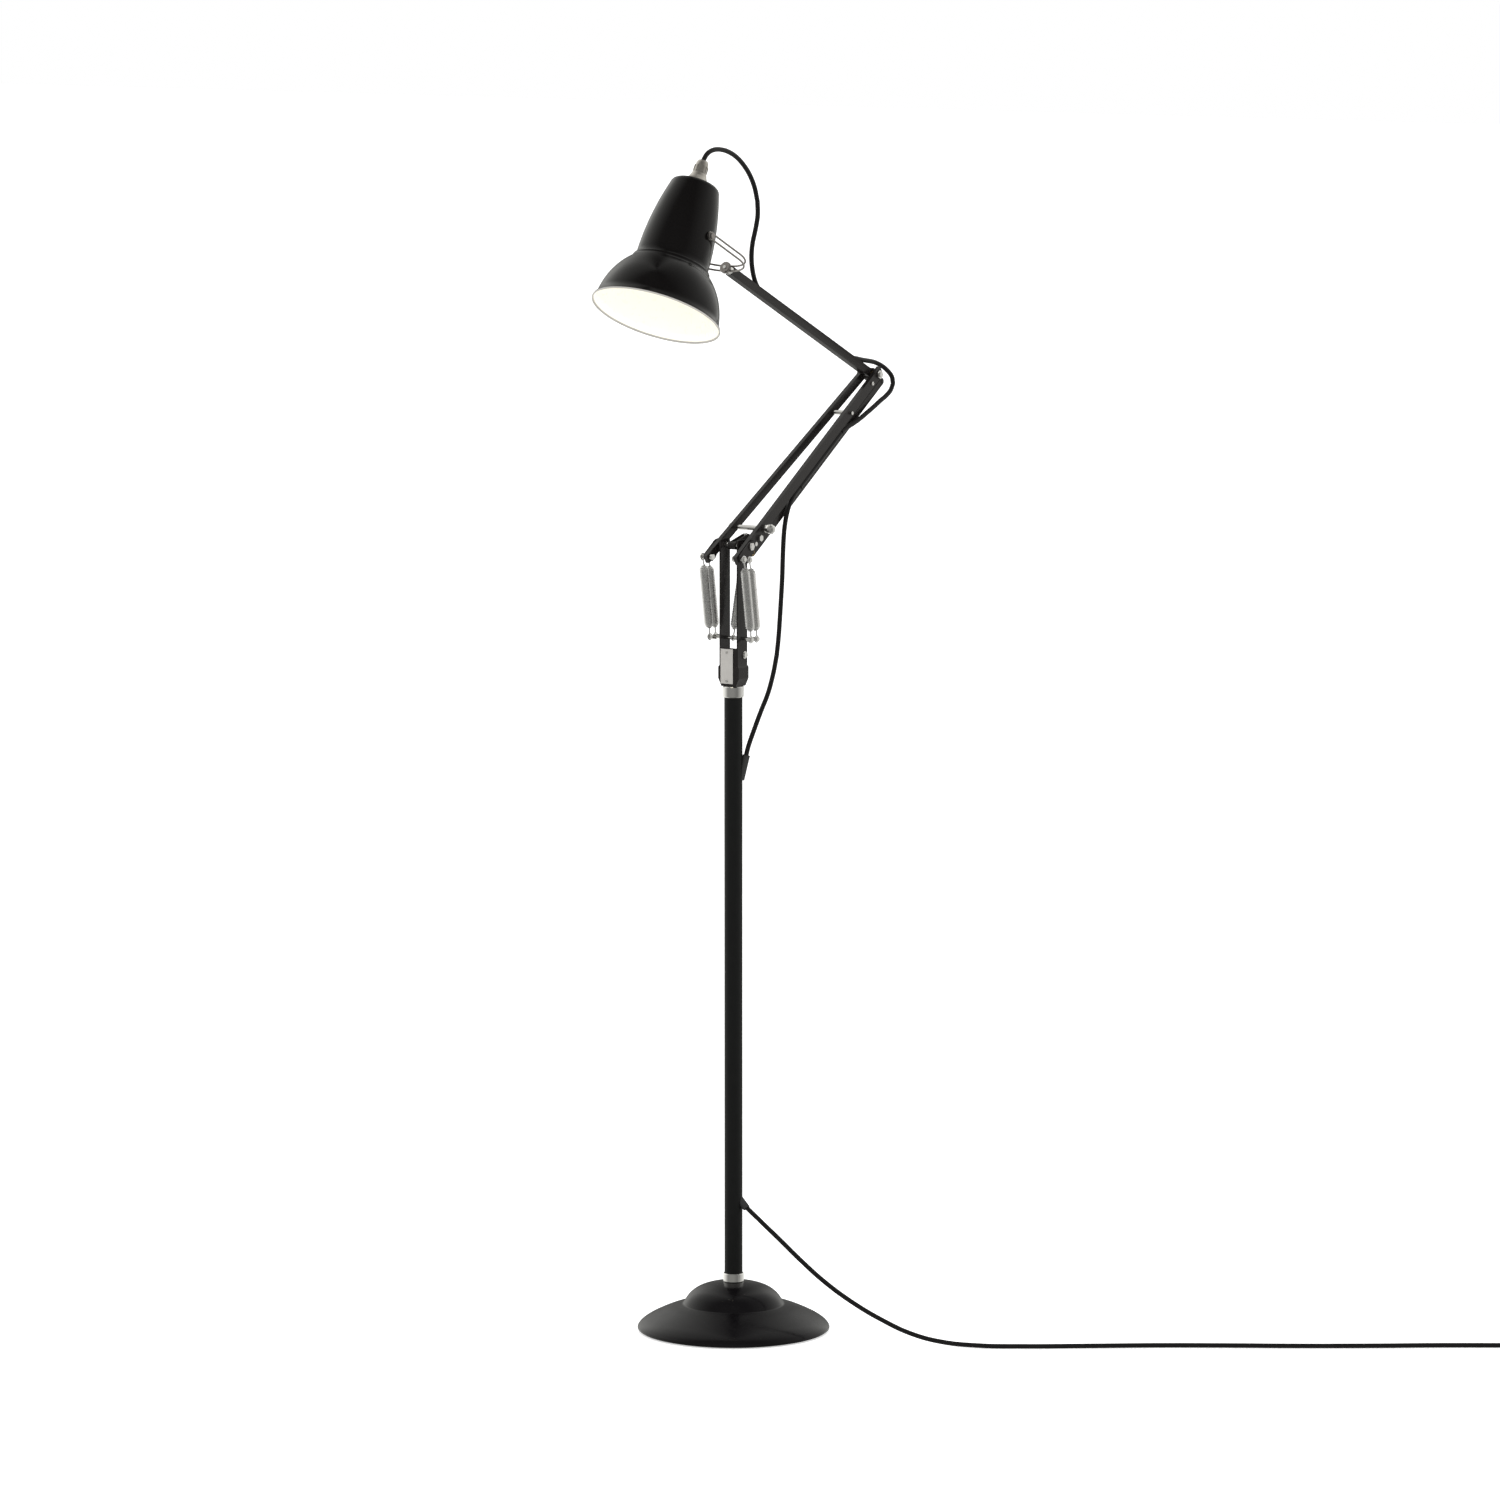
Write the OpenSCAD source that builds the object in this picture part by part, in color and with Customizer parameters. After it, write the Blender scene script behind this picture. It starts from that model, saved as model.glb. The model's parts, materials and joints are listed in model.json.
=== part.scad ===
// Adjustable arm floor lamp: a round weighted base, a pole, a swivelling fork bracket,
// a spring-balanced two-bar arm, an upper arm and a bell shade held in a stirrup.
// The origin is the centre of the base's underside. +Z is up, the arms fold in the XZ
// plane, every arm hinge runs along Y, and the head reaches towards -X. Millimetres.

/* [Base] */
// Radius of the base at its lip
base_r = 110; // [100:1:130]
// Height of the inner dome's top
base_h = 56; // [50:1:60]

/* [Pole] */
// Outside diameter of the pole
pole_d = 20.8; // [20:0.2:22]
// Height of the pole's top end
pole_top = 740; // [738:1:740]

/* [Bracket] */
// Height of the main pivot above the floor
pivot_z = 902; // [898:1:906]
// Outside width of the fork bracket
bracket_w = 26; // [25.6:0.1:26.2]
// Depth of each bracket plate
bracket_depth = 18; // [16:1:19]

/* [Arms] */
// Length of the lower arm between its pivots
lower_len = 322; // [300:1:330]
// Angle of the lower arm above the horizontal
lower_elev = 33.4; // [30:0.1:36]
// Length of the upper arm from the elbow to the swivel
upper_len = 306; // [280:1:310]
// Rise of the upper arm above the horizontal
upper_rise = 25.8; // [25:0.1:27]
// Distance between the elbow axle and the link bar's pin
crank_len = 18; // [17:0.5:19]

/* [Head] */
// Radius of the shade at its rim
shade_r = 74; // [72:0.5:76]
// Tilt of the shade's axis from upright
shade_tilt = 28; // [20:1:32]
// Distance from the swivel to the shade's pivot screws
fork_len = 103; // [100:1:106]

/* [Cord] */
// Diameter of the mains cord
cord_d = 5.5; // [5:0.1:5.5]

/* [Hidden] */
$fn = 48;

eps = 0.01;
wall = 1.2;
gap = 0.3;
axle_r = 3;
running = 0.05;
cord_r = cord_d / 2;

// Places that follow from the driving sizes
pivot = [0, 0, pivot_z];
elbow = pivot + lower_len * [cos(lower_elev), 0, sin(lower_elev)];
wrist = elbow + upper_len * [-cos(upper_rise), 0, sin(upper_rise)];
shade_pivot = wrist + fork_len * [-cos(upper_rise), 0, sin(upper_rise)];
anchor_z = pivot_z - 105;

// Base
foot_r = base_r - 6;
foot_h = 2;
weight_top = 24;
crease_r = 58;
crease_z = 30.5;
collar_h = 10;
pole_r = pole_d / 2;
pole_bore = pole_r - 1.6;

// Bracket
plate_t = 2;
plate_y = bracket_w / 2 - plate_t;
web_top = pivot_z - 116;
bracket_bottom = pole_top + 2.4;
spindle_r = 5;

// Arm bars: height across the bar, width along the axles, distance from the middle plane
near_h = 12;
far_h = 10;
bar_w = 5;
bar_wall = 0.9;
bar_y_foot = 20;
bar_y_elbow = 10;
bar_slant = asin((bar_y_foot - bar_y_elbow) / lower_len);
bar_tail = 28;
bar_end = 8;
bar_face = bar_y_foot + bar_w / 2;
link_y_foot = 15.6;
link_h = 8;
link_w = 1.6;
crank_angle = 30;
lever_len = 26;
lever_angle = 20;
lever_fork = 2.4;
lever_hub_r = 4.6;
tie_u = 34;
tie_v = -1;
tie_r = 2.2;
upper_tie_u = 250;
upper_tie_r = 2;
pin_r = 2;

// Springs
spring_r = 5.3;
spring_y = 28.8;
spring_eye = 12;
wire_r = 0.8;
spring_pin_r = 2.4;
tail_u = 23;
tail_rear = [-8.4, -14.2];
clip_dx = 5.4;
anchor_r = 2;

// Upper arm
arm_h = 10;
arm_w = 8;
hub_r = 7.5;
bush_r = 4.2;
end_plug_len = 22;

// Head
fork_y = 42.2;
fork_wire_r = 1.1;
fork_gap = 3;
fork_bend = 38;
fork_x = 6.5;
fork_eye_r = 3.6;
stud_r = 2;
disc_r = 6.8;
shade_wall = 1.2;
pivot_s = 100;
bead_s = 62;
neck_foot_r = 41.4;
neck_end_s = 155;
shade_top_s = 161.5;
grip_top_s = 190;

// Cord routes: points along the middle of the cord
head_route = [[-60, 0, 1331.4], [-56.4, 0, 1338.2], [-48.8, 0, 1345.4], [-37, 0, 1349], [-23, 0, 1348.8],
    [-8, 0, 1345.5], [7, 0, 1339], [20.5, 0, 1329.5], [32, 0, 1318], [41, 0, 1304], [46.5, 0, 1288],
    [47, 0, 1272], [42.5, 0, 1256], [37, 0, 1241], [35, 0, 1225], [37.5, 0, 1209], [44, 0, 1195],
    [56, 0, 1183], [71, 0, 1174.6]];
elbow_route = [[224, 0, 1100.4], [239, 0, 1099.4], [252, 0, 1097], [265, 0, 1095], [278, -0.5, 1092.5],
    [288.5, -3, 1088], [296, -6, 1082], [300.5, -9, 1075], [300, -11, 1067], [293.5, -12, 1059.5],
    [283, -12.4, 1053.5], [271, -12.6, 1048.5], [259, -12.8, 1043], [246, -13, 1037.5],
    [232, -13, 1031.5], [218, -13, 1026.5], [204, -13.2, 1022.3], [192.7, -13.4, 1018]];
hanging_route = [[105, -16.4, 960.2], [94, -16.7, 952.5], [84.5, -17.2, 942], [78, -17.8, 930],
    [73.5, -18.3, 916], [71.3, -18.5, 900], [70, -18.6, 882], [68.7, -18.8, 862], [66.6, -18.9, 840],
    [64, -19, 816], [61, -19.3, 794], [57, -19.5, 773], [50, -19.5, 752], [41, -18.8, 731],
    [29.5, -17, 711], [19.5, -14.8, 691], [12, -12, 672], [8.4, -10.2, 656], [5.6, -8.2, 642]];
lead_turn = -54;
lead_route = [[3, 0.5, 157], [11, -4.5, 147], [30, -15, 129.5], [52, -26, 110], [76, -36.5, 88],
    [102, -47, 66], [134, -58.5, 44], [169, -70, 25], [201, -81.5, 12], [234, -92.5, 5],
    [276, -104, 2.9], [330, -108.5, 2.9], [400, -106.5, 2.9], [480, -103.5, 2.9], [560, -104.5, 2.9],
    [640, -107, 2.9], [720, -106.5, 2.9], [800, -104, 2.9], [880, -104.6, 2.9], [909, -105.1, 2.9]];
coil_centre = [925, -140.5];
coil_r = 30;
coil_w = 16.6;
coil_z = 1;
coil_h = 11.2;
tail_route = [[960.5, -157, 8], [961, -170, 5.2], [963, -184, 3.6], [966, -198, 3.6], [970, -212, 5.2],
    [974, -224, 6.9]];
plug_place = [974, -224, 7];
plug_turn = -71;
relief_len = 24;

// One tube of round section along a route, with ring directions taken from ref
function unit(v) = v / norm(v);
function tangent(p, i) = unit(p[min(i + 1, len(p) - 1)] - p[max(i - 1, 0)]);
function side(p, i, ref) = unit(cross(tangent(p, i), ref));
function ring(p, i, ref, r, n) = [for (k = [0:n - 1])
    p[i] + r * (cos(360 * k / n) * side(p, i, ref)
        + sin(360 * k / n) * cross(side(p, i, ref), tangent(p, i)))];

module tube_along(p, ref, r, n = 8) {
    last = len(p) - 1;
    points = [for (i = [0:last]) each ring(p, i, ref, r, n)];
    ends = [[for (k = [0:n - 1]) n - 1 - k], [for (k = [0:n - 1]) last * n + k]];
    walls = [for (i = [0:last - 1], k = [0:n - 1]) each [
        [i * n + k, i * n + (k + 1) % n, (i + 1) * n + (k + 1) % n],
        [i * n + k, (i + 1) * n + (k + 1) % n, (i + 1) * n + k]]];
    polyhedron(points = points, faces = concat(ends, walls), convexity = 8);
}

// Local frames: +X along the lower arm; +X from the wrist back to the elbow; the shade's axis up
module on_floor() { rotate([0, 0, lead_turn]) children(); }
module on_lower_arm() { translate(pivot) rotate([0, -lower_elev, 0]) children(); }
module on_upper_arm() { translate(wrist) rotate([0, upper_rise, 0]) children(); }
module on_shade() {
    translate(shade_pivot) rotate([0, shade_tilt, 0]) translate([0, 0, -pivot_s]) children();
}
module along_y(x, z, y0, y1, r, n = 48) {
    translate([x, y0, z]) rotate([-90, 0, 0]) cylinder(h = y1 - y0, r = r, $fn = n);
}
module both_sides() { children(); mirror([0, 1, 0]) children(); }

// ---------------------------------------------------------------- stand
module foot_pad() {
    color("dimgray") cylinder(h = foot_h, r = foot_r, $fn = 96);
}

module base_weight() {
    color("gray") rotate_extrude($fn = 96) polygon([[pole_r + running, foot_h], [base_r - 11, foot_h],
        [base_r - 11, 7], [84, 15], [60, weight_top], [pole_r + running, weight_top]]);
}

module base_cover() {
    lip = [[foot_r + 0.5, 0.8], [base_r - 0.8, 1.6], [base_r, 3], [base_r - 0.8, 5.2]];
    flange = [[base_r - 4, 9], [base_r - 12, 14.5], [86, 20.5], [74, 25.5], [63, 29], [crease_r, crease_z]];
    dome = [[56, 33.5], [53.5, 37.5], [50, 41.8], [45, 46], [39, 49.4], [32, 52], [24, 54],
        [pole_r + 2, base_h], [pole_r + 0.1, base_h]];
    inside = [[pole_r + 0.1, base_h - 3], [24, 51], [37, 46.5], [46, 40.5], [51, 34.5], [54.5, 28],
        [62, 26], [74, 22], [86, 17], [base_r - 14, 11.5], [base_r - 8, 7.5], [foot_r + 0.5, 3.4]];
    color("black") rotate_extrude($fn = 96) polygon(concat(lip, flange, dome, inside));
}

module base_collar() {
    outline = [[pole_r + running, 0], [pole_r + 1.2, 0], [pole_r + 1.6, 0.8],
        [pole_r + 1.6, collar_h - 1], [pole_r + 1, collar_h], [pole_r + running, collar_h]];
    color("silver") translate([0, 0, base_h]) rotate_extrude() polygon(outline);
}

// The hole that a cord takes through the pole's wall, along the last leg of its route
module cord_hole(from, to, r) {
    leg = to - from;
    tilt = acos(leg[2] / norm(leg));
    turn = atan2(leg[1], leg[0]);
    translate(from) rotate([0, tilt, turn]) cylinder(h = norm(leg), r = r, $fn = 32);
}

upper_hole = [[9.8, -11.2, 663], [4.2, -7.2, 635]];
lower_hole = [[2.3, -4, 155], [3.2, -16.2, 142]];
grommet_r = 4.2;

module pole() {
    color("black") difference() {
        translate([0, 0, 4]) cylinder(h = pole_top - 4, r = pole_r);
        translate([0, 0, 4 - eps]) cylinder(h = pole_top, r = pole_bore);
        cord_hole(upper_hole[0], upper_hole[1], grommet_r + running);
        cord_hole(lower_hole[0], lower_hole[1], grommet_r + running);
    }
}

module pole_nut() {
    color("silver") translate([0, 0, weight_top + 0.2]) difference() {
        cylinder(h = 7, r = 17, $fn = 6);
        translate([0, 0, -eps]) cylinder(h = 8, r = pole_r + running);
    }
}

module grommet(hole) {
    color("black") difference() {
        cord_hole(hole[0], hole[1], grommet_r);
        cord_hole(hole[0] - (hole[1] - hole[0]) * 0.1, hole[1] + (hole[1] - hole[0]) * 0.1, cord_r + 0.4);
    }
}
module upper_grommet() { grommet(upper_hole); }
module lower_grommet() { grommet(lower_hole); }

module top_collar() {
    top = pole_top + 2;
    outline = [[pole_r + running, pole_top - 10.4], [pole_r + 1, pole_top - 10.4],
        [pole_r + 1.5, pole_top - 9.6], [pole_r + 1.7, top - 0.8], [pole_r + 1, top],
        [spindle_r + running, top], [spindle_r + running, pole_top + running],
        [pole_r + running, pole_top + running]];
    color("silver") rotate_extrude() polygon(outline);
}

module bracket_spindle() {
    color("silver") union() {
        translate([0, 0, pole_top - 40]) cylinder(h = 62, r = spindle_r);
        translate([0, 0, pole_top - 40]) cylinder(h = 30, r = pole_bore - 0.1);
    }
}

// ---------------------------------------------------------------- bracket
module bracket_side() {
    corner = 2.5;
    half = bracket_depth / 2;
    height = pivot_z + 7 - bracket_bottom - 20;
    difference() {
        translate([0, plate_y + plate_t, bracket_bottom + 20]) rotate([90, 0, 0])
            linear_extrude(plate_t) union() {
                translate([-half, 0]) square([2 * half, height - corner]);
                translate([-half + corner, 0]) square([2 * (half - corner), height]);
                for (x = [-half + corner, half - corner])
                    translate([x, height - corner]) circle(r = corner);
            }
        along_y(0, pivot_z, plate_y - 1, plate_y + plate_t + 1, axle_r + running);
        along_y(0, anchor_z, plate_y - 1, plate_y + plate_t + 1, anchor_r);
    }
}

module bracket() {
    half = bracket_w / 2;
    block = [[-half, web_top - 20], [-half - 1.4, web_top - 22], [-half - 1.4, bracket_bottom + 9],
        [-10, bracket_bottom], [10, bracket_bottom], [half + 1.4, bracket_bottom + 9],
        [half + 1.4, web_top - 22], [half, web_top - 20]];
    color("black") union() {
        both_sides() bracket_side();
        translate([-bracket_depth / 2, -plate_y - eps, bracket_bottom + 20])
            cube([plate_t, 2 * plate_y + 2 * eps, web_top - bracket_bottom - 20]);
        difference() {
            translate([-bracket_depth / 2 - 0.6, 0, 0]) rotate([90, 0, 90])
                linear_extrude(bracket_depth + 1.2) polygon(block);
            translate([0, 0, bracket_bottom - 1]) cylinder(h = 21, r = spindle_r + running);
        }
    }
}

module label_plate() {
    color("lightgray") translate([-bracket_depth / 2 - 1.2, -6.5, bracket_bottom + 3])
        cube([0.6, 17.2, web_top - bracket_bottom - 4]);
}

module bracket_screws() {
    head_z = [bracket_bottom + 6, web_top - 5];
    color("silver") {
        for (z = head_z) translate([-bracket_depth / 2 - 1.9, 2, z]) rotate([0, 90, 0])
            cylinder(h = 0.7, r = 1.5, $fn = 24);
        along_y(4, web_top - 8, -bracket_w / 2 - 0.6, -bracket_w / 2, 4.2);
        along_y(4, web_top - 8, -bracket_w / 2 - 2, -bracket_w / 2 - 0.6, 3.2);
    }
}

clip_y = 23.6;

module anchor_rod() {
    color("silver") along_y(0, anchor_z, -clip_y - 2.6, clip_y + 2.6, anchor_r);
}

// Spring anchor clips: a small plate on each end of the rod with two hook pins
module anchor_clips() {
    color("silver") both_sides() difference() {
        union() {
            translate([-clip_dx, clip_y, anchor_z - 2.4]) cube([2 * clip_dx, 1.6, 4.8]);
            for (x = [-clip_dx, clip_dx]) along_y(x, anchor_z, clip_y, spring_y + 2.4, spring_pin_r, 32);
        }
        along_y(0, anchor_z, clip_y - 1, clip_y + 3, anchor_r);
    }
}

// ---------------------------------------------------------------- crank and link
module main_axle() {
    color("silver") along_y(0, pivot_z, -bar_face - 4.6, bar_face + 4.6, axle_r);
}

module axle_nuts() {
    inner = bar_face + 2.4;
    color("silver") both_sides() difference() {
        along_y(0, pivot_z, inner, inner + 1.8, 4.6, 6);
        along_y(0, pivot_z, inner - 1, inner + 3, axle_r);
    }
}

// The forked lever between the bracket plates that the middle spring pulls on
module spring_lever() {
    color("black") translate(pivot) rotate([0, -lever_angle, 0]) difference() {
        union() {
            along_y(0, 0, -lever_fork - 2.6, lever_fork + 2.6, lever_hub_r);
            both_sides() translate([0, lever_fork + 1.4, 0]) rotate([90, 0, 0]) linear_extrude(1.4)
                polygon([[0, -lever_hub_r], [lever_len, -2.6], [lever_len, 2.6], [0, lever_hub_r]]);
            both_sides() along_y(lever_len, 0, lever_fork, lever_fork + 1.4, 2.6);
            along_y(lever_len, 0, -lever_fork - 1, lever_fork + 1, 1.6, 24);
        }
        along_y(0, 0, -8, 8, axle_r);
    }
}

// The lever outside the near plate, with the pin that carries the link bar
module link_lever() {
    outer = -bracket_w / 2 - gap;
    color("black") translate(pivot) rotate([0, crank_angle, 0]) difference() {
        union() {
            along_y(0, 0, outer - 1.2, outer, 5);
            translate([0, outer - 1.2, -3.5]) cube([crank_len, 1.2, 7]);
            along_y(crank_len, 0, outer - 1.2, outer, 3.5);
            along_y(crank_len, 0, -link_y_foot - 1.2, outer - 1, pin_r, 32);
        }
        along_y(0, 0, outer - 3, outer + 1, axle_r);
    }
}

link_pin = [crank_len * cos(crank_angle), 0, -crank_len * sin(crank_angle)];

module link_bush() {
    color("gold") translate(pivot + link_pin) difference() {
        along_y(0, 0, -link_y_foot - 0.8, -link_y_foot + 0.7, pin_r + 0.8);
        along_y(0, 0, -link_y_foot - 2, -link_y_foot + 2, pin_r + running);
    }
}

module link_bar() {
    length = lower_len / cos(bar_slant);
    color("black") translate(link_pin) on_lower_arm() difference() {
        translate([0, -link_y_foot, 0]) rotate([0, 0, bar_slant]) union() {
            translate([0, -link_w / 2, -link_h / 2]) cube([length, link_w, link_h]);
            along_y(0, 0, -link_w / 2, link_w / 2, 4);
            along_y(length, 0, -link_w / 2, link_w / 2, 4);
        }
        along_y(0, 0, -link_y_foot - 4, -link_y_foot + 4, pin_r + 0.8 + running);
        along_y(lower_len, 0, -link_y_foot, 0, pin_r + gap);
    }
}

// ---------------------------------------------------------------- lower arm
module near_bar() {
    length = bar_tail + lower_len + bar_end;
    color("black") on_lower_arm() difference() {
        translate([0, -bar_y_foot, 0]) rotate([0, 0, bar_slant]) difference() {
            translate([-bar_tail, -bar_w / 2, -near_h / 2]) cube([length, bar_w, near_h]);
            translate([-bar_tail + 1.4, -bar_w / 2 + bar_wall, -near_h / 2 - 1])
                cube([length - 2.8, bar_w - 2 * bar_wall, near_h - bar_wall + 1]);
            translate([-bar_tail - 1, -bar_w, -near_h / 2 - 1]) rotate([0, 25, 0]) cube([3.6, 2 * bar_w, 12]);
        }
        along_y(0, 0, -bar_y_foot - 8, -bar_y_foot + 8, axle_r + running);
        along_y(-tail_u, 0, -bar_y_foot - 8, -bar_y_foot + 8, spring_pin_r);
        along_y(lower_len, 0, -bar_y_elbow - 8, -bar_y_elbow + 8, axle_r);
        along_y(tie_u, tie_v, -bar_y_foot - 8, -bar_y_foot + 8, tie_r);
        along_y(upper_tie_u, tie_v, -bar_y_foot - 2, -bar_y_elbow + 8, upper_tie_r);
    }
}

module far_bar() {
    length = bar_tail + lower_len + bar_end;
    color("black") on_lower_arm() difference() {
        translate([0, bar_y_foot, 0]) rotate([0, 0, -bar_slant]) difference() {
            translate([-bar_tail, -bar_w / 2, -far_h / 2]) cube([length, bar_w, far_h]);
            translate([-bar_tail + 1.4, -bar_w / 2 + bar_wall, -far_h / 2 - 1])
                cube([length - 2.8, bar_w - 2 * bar_wall, far_h - bar_wall + 1]);
        }
        along_y(0, 0, bar_y_foot - 8, bar_y_foot + 8, axle_r + running);
        along_y(-tail_u, 0, bar_y_foot - 8, bar_y_foot + 8, spring_pin_r);
        along_y(lower_len, 0, bar_y_elbow - 8, bar_y_elbow + 8, axle_r);
        along_y(tie_u, tie_v, bar_y_foot - 8, bar_y_foot + 8, tie_r);
        along_y(upper_tie_u, tie_v, bar_y_elbow - 8, bar_y_foot + 2, upper_tie_r);
    }
}

// The plates on the bars' lower ends that hold the rear springs' pins
tail_front = [-tail_u * cos(lower_elev), -tail_u * sin(lower_elev)];
tail_plate_y = bar_face + 0.9;

module tail_plates() {
    color("black") both_sides() difference() {
        translate([0, tail_plate_y + 1.4, pivot_z]) rotate([90, 0, 0]) linear_extrude(1.4)
            polygon([[6, 7], [-2, 5.5], [-22.5, -9], [-23.5, -13.5], [-19, -17.5],
                [-7, -18.6], [-2.5, -16], [7, -3.5], [8.5, 3]]);
        along_y(0, pivot_z, tail_plate_y - 1, tail_plate_y + 3, axle_r + 0.1);
        for (p = [tail_front, tail_rear])
            along_y(p[0], pivot_z + p[1], tail_plate_y - 1, tail_plate_y + 3, spring_pin_r, 32);
    }
}

// Front pins run through the bars and carry a spacer on the inside; rear pins sit in the plates
module spring_pins() {
    color("silver") both_sides() union() {
        along_y(tail_front[0], pivot_z + tail_front[1], 14.4, spring_y + 2.4, spring_pin_r, 32);
        along_y(tail_front[0], pivot_z + tail_front[1], 14, bar_y_foot - bar_w / 2 - 0.1, 3.4, 32);
        along_y(tail_rear[0], pivot_z + tail_rear[1], tail_plate_y, spring_y + 2.4, spring_pin_r, 32);
    }
}

module lower_tie_rod() {
    color("silver") on_lower_arm() union() {
        along_y(tie_u, tie_v, -bar_face - 6.5, bar_face + 3, tie_r);
        along_y(tie_u, tie_v, -12, 12, 2.9);
        along_y(tie_u, tie_v, bar_face + 0.4, bar_face + 2.6, 4);
    }
}

module upper_tie_rod() {
    color("silver") on_lower_arm() union() {
        along_y(upper_tie_u, tie_v, -17.5, 17.5, upper_tie_r);
        along_y(upper_tie_u, tie_v, -5.4, 9, 2.6);
    }
}

module elbow_axle() {
    color("silver") on_lower_arm() along_y(lower_len, 0, -bar_y_elbow - 6.6, bar_y_elbow + 6.6, axle_r);
}

module elbow_nuts() {
    inner = bar_y_elbow + bar_w / 2 + 0.4;
    color("silver") on_lower_arm() both_sides() difference() {
        along_y(lower_len, 0, inner, inner + 2.4, 5, 6);
        along_y(lower_len, 0, inner - 1, inner + 4, axle_r);
    }
}

module elbow_spacers() {
    color("silver") on_lower_arm() both_sides() difference() {
        along_y(lower_len, 0, 5.5, bar_y_elbow - bar_w / 2 - 0.2, 4);
        along_y(lower_len, 0, 4, 10, axle_r);
    }
}

// Small fittings on the near bar's outer face: slotted screws, and the nuts by the knob
module bar_screws() {
    color("silver") on_lower_arm() difference() {
        union() {
            along_y(tie_u, tie_v, -bar_face - 2.2, -bar_face + 0.8, 4.6, 6);
            along_y(tie_u - 13, -4.4, -bar_face - 2.6, -bar_face + 0.5, 3.8, 6);
            along_y(11, -5, -bar_face - 1.2, -bar_face + 0.2, 2.4, 24);
            along_y(lower_len - 17, 0, -bar_y_elbow - 4.6, -bar_y_elbow - 3.1, 2.2, 24);
        }
        along_y(tie_u, tie_v, -bar_face - 9, -bar_face + 2, tie_r);
        translate([lower_len - 19.5, -bar_y_elbow - 5, -0.4]) cube([5, 0.9, 0.8]);
    }
}

module lower_arm_cord() {
    color("black") cord_run(hanging_route[0], elbow_route[len(elbow_route) - 1]);
}

// The domed knob on the lower tie rod's end
module friction_knob() {
    color("silver") on_lower_arm() translate([tie_u, -bar_face - 2.6, tie_v]) rotate([90, 0, 0])
        difference() {
            rotate_extrude() polygon([[0, 0], [3.4, 0], [3.4, 1.2], [5.4, 3], [6, 5.2], [5.6, 7.6],
                [4.3, 9.6], [2.4, 10.8], [0, 11.2]]);
            translate([0, 0, -eps]) cylinder(h = 4.3, r = tie_r + running);
        }
}

// ---------------------------------------------------------------- springs
// One tension spring from eye to eye in a plane of constant Y: a close-wound body with
// drawn-in ends, and a wire loop round each pin
module spring(from, to, y, r, foot_pin_r, top_pin_r) {
    span = norm(to - from);
    lean = atan2(to[0] - from[0], to[1] - from[1]);
    foot = foot_pin_r + wire_r + gap;
    top = top_pin_r + wire_r + gap;
    wound = span - 2 * spring_eye + 4;
    outline = [[0, 0], [r - 2.4, 0], [r - 0.5, 2.4], [r, 5], [r, wound - 5], [r - 0.5, wound - 2.4],
        [r - 2.4, wound], [0, wound]];
    translate([from[0], y, from[1]]) rotate([0, lean, 0]) union() {
        translate([0, 0, spring_eye - 2]) rotate_extrude($fn = 32) polygon(outline);
        translate([0, 0, foot]) cylinder(h = spring_eye - 1 - foot, r = wire_r, $fn = 16);
        translate([0, 0, span - spring_eye + 1]) cylinder(h = spring_eye - 1 - top, r = wire_r, $fn = 16);
        rotate([90, 0, 0]) rotate_extrude($fn = 32) translate([foot, 0]) circle(r = wire_r, $fn = 16);
        translate([0, 0, span]) rotate([90, 0, 0])
            rotate_extrude($fn = 32) translate([top, 0]) circle(r = wire_r, $fn = 16);
    }
}

module outer_pair(foot_x, top) {
    color("silver") for (y = [-spring_y, spring_y])
        spring([foot_x, anchor_z], [top[0], pivot_z + top[1]], y, spring_r, spring_pin_r, spring_pin_r);
}
module front_springs() { outer_pair(-clip_dx, tail_front); }
module rear_springs() { outer_pair(clip_dx, tail_rear); }
module middle_spring() {
    tip = [lever_len * cos(lever_angle), pivot_z + lever_len * sin(lever_angle)];
    color("silver") spring([0, anchor_z], tip, 0, spring_r - 0.5, anchor_r, 1.6);
}

// ---------------------------------------------------------------- elbow and upper arm
module elbow_bush() {
    color("gold") translate(elbow) difference() {
        along_y(0, 0, -5.2, 5.2, bush_r);
        along_y(0, 0, -6, 6, axle_r + running);
    }
}

module upper_arm() {
    tail_w = 2.4;
    tail = [crank_len * cos(crank_angle), 0, -crank_len * sin(crank_angle)];
    color("black") difference() {
        union() {
            on_upper_arm() difference() {
                translate([0, -arm_w / 2, -arm_h / 2]) cube([upper_len, arm_w, arm_h]);
                translate([end_plug_len, -arm_w / 2 + wall, -arm_h / 2 + wall])
                    cube([upper_len - end_plug_len - 14, arm_w - 2 * wall, arm_h]);
            }
            translate(elbow) along_y(0, 0, -arm_w / 2 - 0.3, arm_w / 2 + 0.3, hub_r);
            translate(elbow) rotate([0, crank_angle, 0])
                translate([0, -arm_w / 2, -3.4]) cube([crank_len, tail_w, 6.8]);
            translate(elbow + tail) along_y(0, 0, -arm_w / 2, -arm_w / 2 + tail_w, 4);
            translate(elbow + tail) along_y(0, 0, -arm_w / 2 - 2.8, -arm_w / 2 + 1, pin_r);
        }
        translate(elbow) along_y(0, 0, -6, 6, bush_r + running);
        on_upper_arm() translate([-1, 0, 0]) rotate([0, 90, 0]) cylinder(h = end_plug_len + 0.4, r = 3.6);
    }
}

// The plug pressed into the upper arm's end, which the swivel stud turns in
module arm_end_plug() {
    color("silver") on_upper_arm() difference() {
        rotate([0, 90, 0]) cylinder(h = end_plug_len - 0.8, r = 3.6);
        translate([-1, 0, 0]) rotate([0, 90, 0])
            cylinder(h = end_plug_len + 2, r = stud_r + running, $fn = 32);
    }
}

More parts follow.
